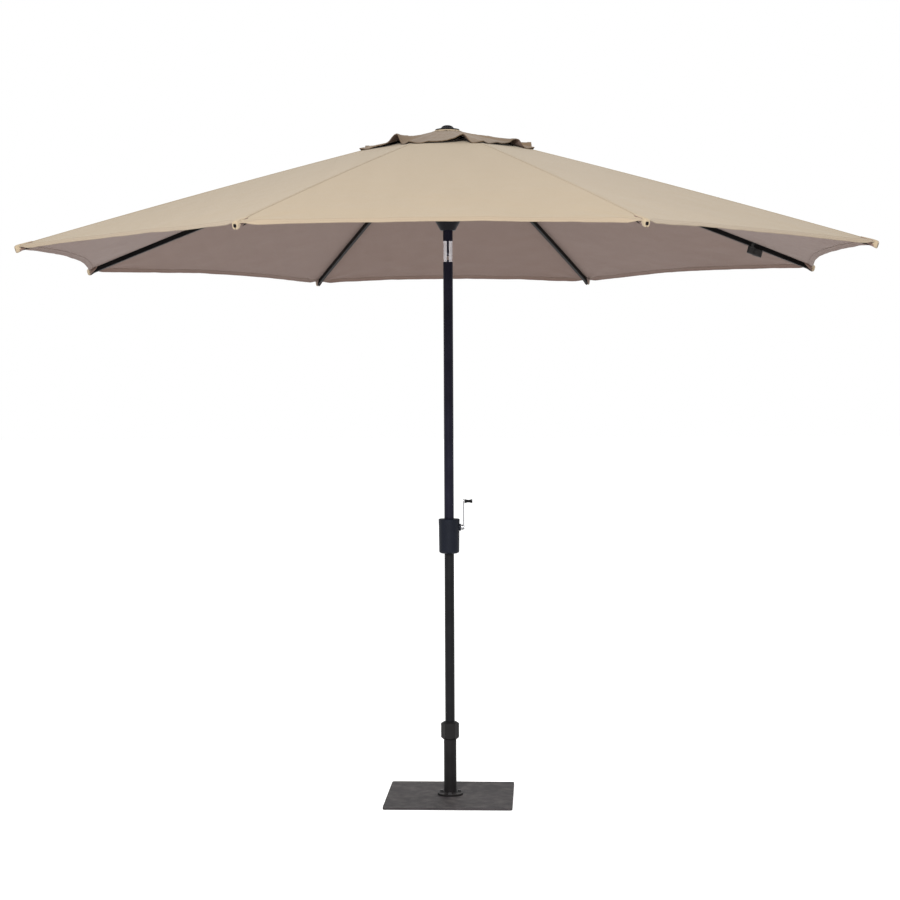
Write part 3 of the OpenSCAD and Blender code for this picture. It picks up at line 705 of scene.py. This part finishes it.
def vent_tree():
    tree, bench, given = new_tree("vent_cloth_patch", VENT_INPUTS)
    grid, share, across = patch_grid(bench, given)
    along = given["Along Start"] + share * (given["Along End"] - given["Along Start"])
    _, r, x, y = gore_place(VENT_START, VENT_R, along, across)
    world_x, world_y = to_world(x, y, given["Azimuth"])
    away = (world_x ** 2 + world_y ** 2).calc("SQRT")
    ripple = noise(bench, bench.join(world_x / away, world_y / away, 0.62), 9.0, 2.0) - 0.5
    plus = across.calc("GREATER_THAN", 0.0)
    in_gore = plus * (across - 1) + (1 - plus) * (across + 1)
    peak = plus * given["Plus Place"] + (1 - plus) * given["Minus Place"]
    height = plus * given["Plus Height"] + (1 - plus) * given["Minus Height"]
    off_peak = (in_gore - peak) / ARCH_WIDTH
    arch = (off_peak * off_peak * -1.0).calc("EXPONENT")
    beside = band(abs(across), 0.26, 0.55)
    open_share = beside * beside * (3 - 2 * beside)
    pleat = clamp01(1 - abs(across) / 0.20)
    hem_lift = VENT_REST + open_share * (0.006 + height * arch + 0.012 * ripple) + RIB_PLEAT * pleat
    middle = (along * math.pi).calc("SINE")
    calm = 0.35 + 0.65 * open_share
    crumple = noise(bench, bench.join(world_x, world_y, 0.11), 22.0, 3.0) - 0.5
    folds = (0.011 * ripple + 0.0085 * crumple) * middle * calm
    round_pole = world_y.calc("ARCTAN2", world_x)
    gathers = (round_pole * PLEATS + 6 * ripple).calc("COSINE") * (1 - along) ** 3
    clear = (VENT_CLEAR + 0.0008 * open_share) * middle
    rise = VENT_RISE * (1 - along) ** 2 + clear + hem_lift * along ** 2.7
    z = cloth_level(r) + rise + folds + 0.0012 * gathers + given["Lift"]
    lay_patch(bench, given, grid, (world_x, world_y, z), (x, y))
    return tree


def arches_of(rib):
    """The arches on both sides of a rib: the gore after it and the gore before it."""
    after, before = ARCHES[rib], ARCHES[rib - 1]
    return {"Plus Place": after[0], "Plus Height": after[1], "Minus Place": before[0],
            "Minus Height": before[1]}


vent = vent_tree()
vent_sectors = []
for rib in range(RIBS):
    sector = normals_up(run_tree(vent, f"vent_sector_{rib + 1}", {
        **arches_of(rib), "Azimuth": azimuth_of(rib), "Along Start": 0.0, "Along End": 1.0, "Lift": 0.0,
        "Count Along": 40, "Count Across": 73, "Material": vent_cloth_painted_shade}))
    # The lower faces of the vent sector and its hem take the underside's painted shade.
    thicken(sector, CLOTH_T, under=underside_painted_shade)
    soft_on_rib(sector, rib)
    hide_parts("vent_cap")
    hem = normals_up(run_tree(vent, f"vent_hem_{rib + 1}", {
        **arches_of(rib), "Azimuth": azimuth_of(rib), "Along Start": 1 - VENT_HEM_W / VENT_LEN,
        "Along End": 1.003, "Lift": VENT_HEM_LIFT, "Count Along": 4, "Count Across": VENT_POINTS,
        "Material": vent_cloth_painted_shade}))
    thicken(hem, VENT_HEM_T, under=underside_painted_shade)
    soft_on_rib(hem, rib)
    vent_sectors.append((sector, hem))
print(len(vent_sectors), "vent sectors with hems")

# %% [markdown]
# Under the finial the vent cloth is gathered by a drawstring. The crown is built as a pleated ring: its
# outline is a short list of radii and heights from the hub's top, and a wave with many small pleats runs
# round it, strongest at the bottom where the cloth opens out.

# %% Gathered crown
CROWN_OUTLINE = [(0.0100, 0.0011), (0.0300, 0.0011), (0.0470, 0.0012), (0.0508, 0.0006), (0.0522, -0.0008),
                 (0.0528, -0.0022), (0.0540, -0.0034), (0.0565, -0.0040), (0.0600, -0.0044)]
PLEAT_DEPTH = 0.0016
CROWN_T = 0.0008


def grid_mesh(name, rows, closed=False, uv=None):
    """A mesh of quads from rows of points. closed joins each row's ends; uv gives a point's place by row
    and column."""
    mesh = bpy.data.meshes.new(name)
    wide = len(rows[0])
    faces = []
    spots = []
    for i in range(len(rows) - 1):
        for j in range(wide if closed else wide - 1):
            k = (j + 1) % wide
            faces.append((i * wide + j, (i + 1) * wide + j, (i + 1) * wide + k, i * wide + k))
            spots.append(((i, j), (i + 1, j), (i + 1, j + 1), (i, j + 1)))
    mesh.from_pydata([p for row in rows for p in row], [], faces)
    if uv is not None:
        layer = mesh.uv_layers.new(name="UVMap")
        for face, corners in zip(mesh.polygons, spots):
            for loop, (i, j) in zip(face.loop_indices, corners):
                layer.data[loop].uv = uv(i, j)
    mesh.shade_smooth()
    return mesh


def crown_rows():
    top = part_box("hub")[1].z
    around = 8 * PLEATS
    rows = []
    for i, (r, drop) in enumerate(CROWN_OUTLINE):
        depth = PLEAT_DEPTH * max(0, i - 2) / (len(CROWN_OUTLINE) - 3)
        row = []
        for j in range(around):
            a = 2 * math.pi * j / around
            wave = math.cos(a * PLEATS + 0.9 * math.sin(5 * a)) + 0.4 * math.sin(a * 11 + 1)
            row.append(((r + depth * wave) * math.cos(a), (r + depth * wave) * math.sin(a),
                        top + drop + 0.25 * depth * wave))
        rows.append(row)
    return rows


crown_mesh = grid_mesh("vent_crown", crown_rows(), closed=True,
                       uv=lambda i, j: (0.05 * j / PLEATS, 0.006 * i))
crown_mesh.materials.append(canopy_cloth)
crown = normals_up(link_object("vent_crown", crown_mesh))
# The crown's lower face takes the underside's painted shade.
thicken(crown, CROWN_T, under=underside_painted_shade)
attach(crown, "mast")
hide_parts("vent_cap")
print("crown has", PLEATS, "pleats")

# %% [markdown]
# Each rib's end sits in a pocket sewn to the canopy's corner. It is a small hood: flush with the cloth at
# its inner end, closed over the rib's plug at the outer end, and open underneath. A hole in its face shows
# the plug. It is drawn as rings of a rounded rectangle along the rib's last stretch, each with its own gap
# at the bottom.

# %% Tip pockets
POCKET_LEN = 0.066
POCKET_RINGS = [
    # place along the hood, half width, top and bottom from the rib's centre line, and the gap in radians
    (0.00, 0.0150, 0.0140, 0.0095, 1.10), (0.20, 0.0142, 0.0147, -0.0010, 0.95),
    (0.40, 0.0132, 0.0153, -0.0070, 0.80), (0.60, 0.0124, 0.0157, -0.0098, 0.65),
    (0.82, 0.0118, 0.0156, -0.0122, 0.45), (0.94, 0.0112, 0.0146, -0.0132, 0.25),
    (1.00, 0.0092, 0.0124, -0.0116, 0.10), (1.00, 0.0070, 0.0088, -0.0085, 0.05),
    (0.985, 0.0055, 0.0060, -0.0058, 0.02)]
POCKET_OUT = 0.0036
POCKET_DROP = 0.0010
POCKET_T = 0.0009
POCKET_POINTS = 40
PUCKER = 0.0007
tip_fall = math.asin((TIP_R - ARC_X) / ARC_R)


def pocket_rows():
    end = Vector((TIP_R + POCKET_OUT, 0.0, TIP_Z - POCKET_DROP))
    out = Vector((math.cos(tip_fall), 0.0, -math.sin(tip_fall)))
    up = Vector((math.sin(tip_fall), 0.0, math.cos(tip_fall)))
    rows = []
    for k, (place, half, top, bottom, gap) in enumerate(POCKET_RINGS):
        centre = end + out * (place - 1) * POCKET_LEN + up * (top + bottom) / 2
        row = []
        for j in range(POCKET_POINTS + 1):
            a = -math.pi / 2 + gap + (2 * math.pi - 2 * gap) * j / POCKET_POINTS
            c, d = math.cos(a), math.sin(a)
            side = math.copysign(abs(c) ** 0.65, c) * half
            lift = math.copysign(abs(d) ** 0.65, d) * (top - bottom) / 2
            pucker = PUCKER * math.cos(9 * a + k) * min(1.0, k / 4) * min(1.0, half / 0.0110) ** 4
            row.append(centre + Vector((0, 1, 0)) * (side + pucker * c) + up * (lift + pucker * d))
        rows.append(row)
    return rows


def turned(piece, rib):
    piece.data.transform(Matrix.Rotation(azimuth_of(rib), 4, "Z"))
    return piece


def mend(piece):
    """Joins doubled points and turns every face outwards."""
    mesh = bmesh.new()
    mesh.from_mesh(piece.data)
    bmesh.ops.remove_doubles(mesh, verts=mesh.verts, dist=1e-6)
    bmesh.ops.recalc_face_normals(mesh, faces=mesh.faces)
    mesh.to_mesh(piece.data)
    mesh.free()
    return piece


def subdivide(piece):
    extra = piece.modifiers.new("smooth", "SUBSURF")
    extra.levels = 1
    extra.render_levels = 1
    mesh = plain_mesh(piece)
    piece.modifiers.remove(extra)
    piece.data = mesh
    return piece


def shade_inside(piece, rib):
    """Gives the hood's sides the underside's painted shade, apart from its outer end and its top."""
    azimuth = azimuth_of(rib)
    out = Vector((math.cos(azimuth), math.sin(azimuth), 0.0))
    for face in piece.data.polygons:
        on_side = face.normal.z < 0.45 and face.normal.dot(out) < 0.30
        if on_side and face.center.dot(out) < TIP_R - 0.012:
            face.material_index = 1


for rib in range(RIBS):
    mesh = grid_mesh(f"tip_pocket_{rib + 1}", pocket_rows(), uv=lambda i, j: (0.006 * i, 0.0020 * j))
    mesh.materials.append(canopy_cloth)
    pocket = turned(mend(link_object(f"tip_pocket_{rib + 1}", mesh)), rib)
    shade_inside(thicken(subdivide(pocket), POCKET_T, under=underside_painted_shade), rib)
    soft_on_rib(pocket, rib)

# %% [markdown]
# Stitches are the smallest thing that shows close up: two rows along each hem and each seam of the canopy
# and one along each hem of the vent, with a stitch every five and a half millimetres. The rows are lines
# taken from the cloth's own rule, and a tree sets a small stretched ball at each stitch, turned to follow
# its line.

# %% Stitch rows
STITCH_PITCH = 0.0055
STITCH_LEN = 0.0036
STITCH_T = 0.0008
HEM_ROWS = (0.0165, 0.0050)
SEAM_ROW = 0.0052
VENT_ROW = 0.0125


def stitch_tree():
    tree, bench, given = new_tree("stitches_on_lines", ["Pitch", "Length", "Thickness"])
    line = bench.add("GeometryNodeMeshToCurve", inputs={"Mesh": given["Geometry"]})
    points = bench.add("GeometryNodeCurveToPoints", {"mode": "LENGTH"},
                       {"Curve": line, "Length": given["Pitch"]})
    rotation = Wire(tree, points.socket.node.outputs["Rotation"])
    ball = bench.add("GeometryNodeMeshIcoSphere", inputs={"Radius": 0.5, "Subdivisions": 1})
    size = bench.join(given["Thickness"], given["Thickness"], given["Length"])
    stitches = bench.add("GeometryNodeInstanceOnPoints", inputs={
        "Points": points, "Instance": ball, "Rotation": rotation, "Scale": size})
    end_tree(bench, given, stitches)
    return tree


def lines_mesh(name, lines):
    points = []
    edges = []
    for line in lines:
        first = len(points)
        points += line
        edges += [(first + i, first + i + 1) for i in range(len(line) - 1)]
    mesh = bpy.data.meshes.new(name + "_lines")
    mesh.from_pydata(points, edges, [])
    return mesh


def first_row(piece, count):
    """The first points of an open patch, which is then removed."""
    row = [vertex.co.copy() for vertex in piece.data.vertices[:count]]
    bpy.data.objects.remove(piece)
    return row


def hem_line(rib, inset):
    start = 1 - inset / GORE_LEN
    return first_row(cloth_patch("line", rib, hem_cloth, {
        "Along Start": start, "Along End": start + 0.001, "Lift": 0.0012, "Count Along": 2,
        "Count Across": HEM_POINTS}), HEM_POINTS)


def seam_pair(rib):
    """The two rows beside a seam, which are the edges of one narrow patch."""
    both = first_row(cloth_patch("line", rib, hem_cloth, {
        "Along Start": 0.15, "Along End": 0.95, "Half Width": SEAM_ROW, "Lift": 0.0011, "Count Along": 120,
        "Count Across": 2}), 240)
    return [both[0::2], both[1::2]]


def vent_line(rib):
    start = 1 - VENT_ROW / VENT_LEN
    return first_row(run_tree(vent, "line", {
        **arches_of(rib), "Azimuth": azimuth_of(rib), "Along Start": start, "Along End": start + 0.002,
        "Lift": 0.0010, "Count Along": 2, "Count Across": VENT_POINTS, "Material": hem_cloth}), VENT_POINTS)


stitch = stitch_tree()
stitch_rows = []
vent_rows = []
sizes = {"Pitch": STITCH_PITCH, "Length": STITCH_LEN, "Thickness": STITCH_T, "Material": thread_finish}
for rib in range(RIBS):
    hem_lines = lines_mesh("hem", [hem_line(rib, inset) for inset in HEM_ROWS])
    on_hem = soft_on_rib(run_tree(stitch, f"hem_stitches_{rib + 1}", sizes, hem_lines), rib)
    seam_lines = lines_mesh("seam", seam_pair(rib))
    on_seam = run_tree(stitch, f"seam_stitches_{rib + 1}", sizes, seam_lines)
    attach(on_seam, f"rib_{rib + 1}")
    stitch_rows.append([on_hem, on_seam])
    row = run_tree(stitch, f"vent_stitches_{rib + 1}", sizes, lines_mesh("vent", [vent_line(rib)]))
    soft_on_rib(row, rib)
    vent_rows.append(row)
all_rows = [row for pair in stitch_rows for row in pair] + vent_rows
print("stitches:", sum(len(row.data.polygons) for row in all_rows) // 20)

# %% [markdown]
# The lifting cord runs from the drum up inside the pole, over the pulley in the hub and down beside the
# mast to the runner. It is held all the way, so it keeps the model's own route. A tube is swept along a
# smooth curve through the route's points, with a UV map in metres for the braid.

# %% Lifting cord
PULLEY_X = 0.017
PULLEY_Z = 2.609
GROOVE_R = 0.0085
CORD_R = 0.0012
CORD_UP = [(0, 0.0095, 1.072), (0, 0.0095, 1.092), (0, 0.008, 1.2), (0, 0.007, 1.4), (0, 0.0065, 1.7),
           (0, 0.0065, 2.0), (0, 0.0065, 2.1), (0, 0.0065, 2.25), (0.001, 0.006, 2.3), (0.004, 0.004, 2.4),
           (0.007, 0.0015, 2.5), (0.0083, 0.0003, 2.57)]
CORD_OVER = [(PULLEY_X + GROOVE_R * math.cos(a), 0, PULLEY_Z + GROOVE_R * math.sin(a))
             for a in np.linspace(math.pi, 0, 13)]
CORD_DOWN = [(PULLEY_X + GROOVE_R, 0, z) for z in (2.55, 2.45, 2.35, 2.298, 2.272)]


def smooth_path(points, step):
    """A Catmull-Rom curve through the points, with a point about every step."""
    spots = [Vector(p) for p in points]
    spots = [2 * spots[0] - spots[1], *spots, 2 * spots[-1] - spots[-2]]
    path = []
    for a, b, c, d in zip(spots, spots[1:], spots[2:], spots[3:]):
        count = max(1, round((c - b).length / step))
        for i in range(count):
            t = i / count
            path.append(0.5 * (2 * b + (c - a) * t + (2 * a - 5 * b + 4 * c - d) * t ** 2
                               + (3 * b - a - 3 * c + d) * t ** 3))
    return [*path, spots[-2]]


def tube_mesh(name, path, radius, sides):
    """A round tube along a path, closed at both ends."""
    rows = []
    gone = [0.0]
    side = Vector((0.05, 1, 0.02))
    for i, spot in enumerate(path):
        ahead = (path[min(i + 1, len(path) - 1)] - path[max(i - 1, 0)]).normalized()
        u = ahead.cross(side).normalized()
        v = ahead.cross(u)
        rows.append([spot + radius * (math.cos(2 * math.pi * j / sides) * u
                                      + math.sin(2 * math.pi * j / sides) * v) for j in range(sides)])
        if i:
            gone.append(gone[-1] + (spot - path[i - 1]).length)
    rows = [[path[0]] * sides, *rows, [path[-1]] * sides]
    gone = [gone[0], *gone, gone[-1]]
    around = 2 * math.pi * radius
    return grid_mesh(name, rows, closed=True, uv=lambda i, j: (gone[i], around * j / sides))


cord_path = smooth_path(CORD_UP + CORD_OVER + CORD_DOWN, 0.008)
cord_mesh = tube_mesh("lifting_cord_braid", cord_path, CORD_R, 12)
cord_mesh.materials.append(cord_finish)
cord = mend(link_object("lifting_cord_braid", cord_mesh))
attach(cord, "mast")
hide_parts("lifting_cord")
cord_length = sum((b - a).length for a, b in zip(cord_path, cord_path[1:]))
print("lifting cord is", round(cord_length, 3), "m long")

# %% [markdown]
# The closing strap is webbing. When the umbrella is open it is rolled flat and held under one rib by a
# narrower band. The roll is a flattened spiral of webbing; two closed loops hold it.

# %% Closing strap
STRAP_R = 1.390
WEB_T = 0.0016
WEB_W = 0.028
ROLL_TURNS = 3
ROLL_LONG = 0.0365
ROLL_THICK = 0.0066
ROLL_STEP = WEB_T + 0.0004
ROLL_UNDER = 0.017
BAND_T = 0.0012


def racetrack(half_long, half_thick, share):
    """A point of a flat loop with round ends; share runs once round from 0 to 1."""
    straight = max(half_long - half_thick, 0.001)
    around = 4 * straight + 2 * math.pi * half_thick
    s = share % 1.0 * around
    if s < 2 * straight:
        return straight - s, half_thick
    s -= 2 * straight
    if s < math.pi * half_thick:
        a = math.pi / 2 + s / half_thick
        return -straight + half_thick * math.cos(a), half_thick * math.sin(a)
    s -= math.pi * half_thick
    if s < 2 * straight:
        return -straight + s, -half_thick
    a = -math.pi / 2 + (s - 2 * straight) / half_thick
    return straight + half_thick * math.cos(a), half_thick * math.sin(a)


def strap_roll():
    steps = 44
    lines = []
    for k in range(ROLL_TURNS * steps + 1):
        share = k / steps
        shrink = share * ROLL_STEP
        lines.append(racetrack(ROLL_LONG - shrink, ROLL_THICK - shrink, share))
    rows = [[(x, y, z) for x, y in lines] for z in (-WEB_W / 2, -WEB_W / 6, WEB_W / 6, WEB_W / 2)]
    return grid_mesh("strap_roll", rows, uv=lambda i, j: (0.0035 * j, WEB_W / 3 * i))


def strap_band(half_w, half_y, low, high, along):
    """A closed loop round the roll, or round the roll and the rib."""
    steps = 40
    loop = [racetrack((high - low) / 2, half_y, k / steps) for k in range(steps)]
    middle = (high + low) / 2
    rows = [[(x, y, middle + z) for z, y in loop] for x in (along - half_w, along, along + half_w)]
    return grid_mesh("strap_band", rows, closed=True, uv=lambda i, j: (0.004 * j, half_w * i))


def hang_strap(mesh, name, thickness):
    """Places a strap piece, drawn round the roll's middle, under the first rib."""
    mesh.materials.append(webbing_finish)
    piece = link_object(name, mesh)
    middle = Vector((STRAP_R, 0, rib_height(STRAP_R) - RIB_H / 2 - ROLL_UNDER))
    piece.data.transform(Matrix.Translation(middle) @ Matrix.Rotation(fall, 4, "Y"))
    turned(piece, 0)
    thicken(mend(piece), thickness, offset=0.0)
    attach(piece, "rib_1")
    return piece


roll = hang_strap(strap_roll(), "closing_strap_roll", WEB_T)
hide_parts("tie_strap")
holder = hang_strap(strap_band(0.009, 0.0088, -0.0160, 0.0160, 0.004), "closing_strap_holder", BAND_T)
hanger = hang_strap(strap_band(0.007, 0.0082, 0.0085, 0.0362, -0.022), "closing_strap_hanger", BAND_T)
print("closing strap:", roll.name, holder.name, hanger.name)

# %% [markdown]
# A loop takes each vent sector and its hem in turn.


for rib in range(RIBS):
    sector, hem = vent_sectors[rib]

# %% [markdown]
# A stage keeps the view calm: a plain pale floor, a pale sky for soft fill, and one large soft light in
# front of and above the umbrella. The floor glows a little, so that no shadow or horizon distracts.

# %% Stage and lights
def make_floor():
    mesh = bpy.data.meshes.new("floor")
    half = 60.0
    corners = [(-half, -half, 0), (half, -half, 0), (half, half, 0), (-half, half, 0)]
    mesh.from_pydata(corners, [], [(0, 1, 2, 3)])
    floor = link_object("floor", mesh)
    material, bench = new_material("pale_floor")
    finish_shader(material, bench, (0.86, 0.86, 0.86, 1.0), 0.9, Specular_IOR_Level=0.0,
                  Emission_Color=(1.0, 1.0, 1.0, 1.0), Emission_Strength=0.34)
    mesh.materials.append(material)


def soft_light(name, at, target, size, power):
    data = bpy.data.lights.new(name, "AREA")
    data.shape = "DISK"
    data.size = size
    data.energy = power
    light = link_object(name, data)
    light.location = at
    light.rotation_euler = (Vector(target) - Vector(at)).to_track_quat("-Z", "Y").to_euler()


make_floor()
world = bpy.data.worlds.new("sky")
world.use_nodes = True
world.node_tree.nodes["Background"].inputs[0].default_value = (1.0, 1.0, 1.0, 1.0)
world.node_tree.nodes["Background"].inputs[1].default_value = 1.0
bpy.context.scene.world = world
bpy.context.scene.view_settings.view_transform = "Standard"
soft_light("key", (-0.8, -8.5, 6.0), (0, 0, 2.2), 3.5, 1500.0)
print("stage is set")
